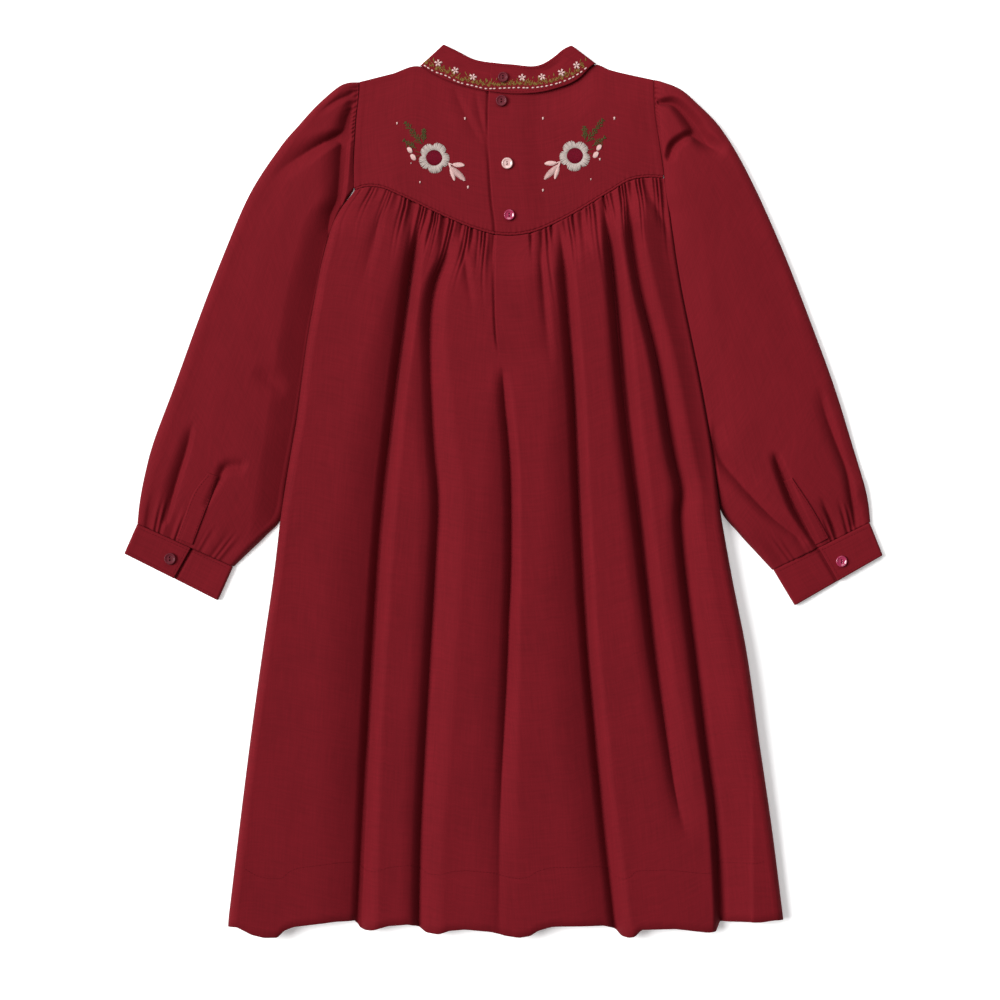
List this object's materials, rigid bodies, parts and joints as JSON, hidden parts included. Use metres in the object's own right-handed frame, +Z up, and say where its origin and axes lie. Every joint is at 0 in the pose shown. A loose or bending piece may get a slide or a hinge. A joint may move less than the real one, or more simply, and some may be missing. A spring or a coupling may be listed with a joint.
{
  "type": "girl's gathered dress with embroidered yoke, laid flat",
  "caption": "Long-sleeved girl's dress laid flat with its back up: pointed yoke buttoned at the centre back, stand collar, gathered skirt and full sleeves on buttoned cuffs.",
  "frame": {"origin": "middle of the dress's bounding box, on the surface it lies on", "axes": "+Y from the hem to the collar, +X to the right as seen from above, +Z up, out of the dress's back"},
  "size_m": [0.6684, 0.7856, 0.0221],
  "materials": {
    "red_cloth": "soft brushed cotton twill",
    "piping_cloth": "matt cotton cord",
    "wine_button": "satin",
    "pearl_pink_button": "pearly",
    "magenta_button": "gloss"
  },
  "bodies": {
    "root": {"front_panel": "red_cloth", "back_skirt": "red_cloth", "back_yoke_left": "red_cloth", "back_yoke_right": "red_cloth", "yoke_piping_left": "piping_cloth", "yoke_piping_right": "piping_cloth", "collar_band": "red_cloth", "sleeve_left": "red_cloth", "sleeve_right": "red_cloth", "sleeve_placket_left": "red_cloth", "sleeve_placket_right": "red_cloth", "cuff_left": "red_cloth", "cuff_right": "red_cloth", "button_collar": "wine_button", "button_neck": "wine_button", "button_yoke": "pearl_pink_button", "button_seam": "magenta_button", "button_cuff_left": "wine_button", "button_cuff_right": "magenta_button"}
  },
  "joints": []
}
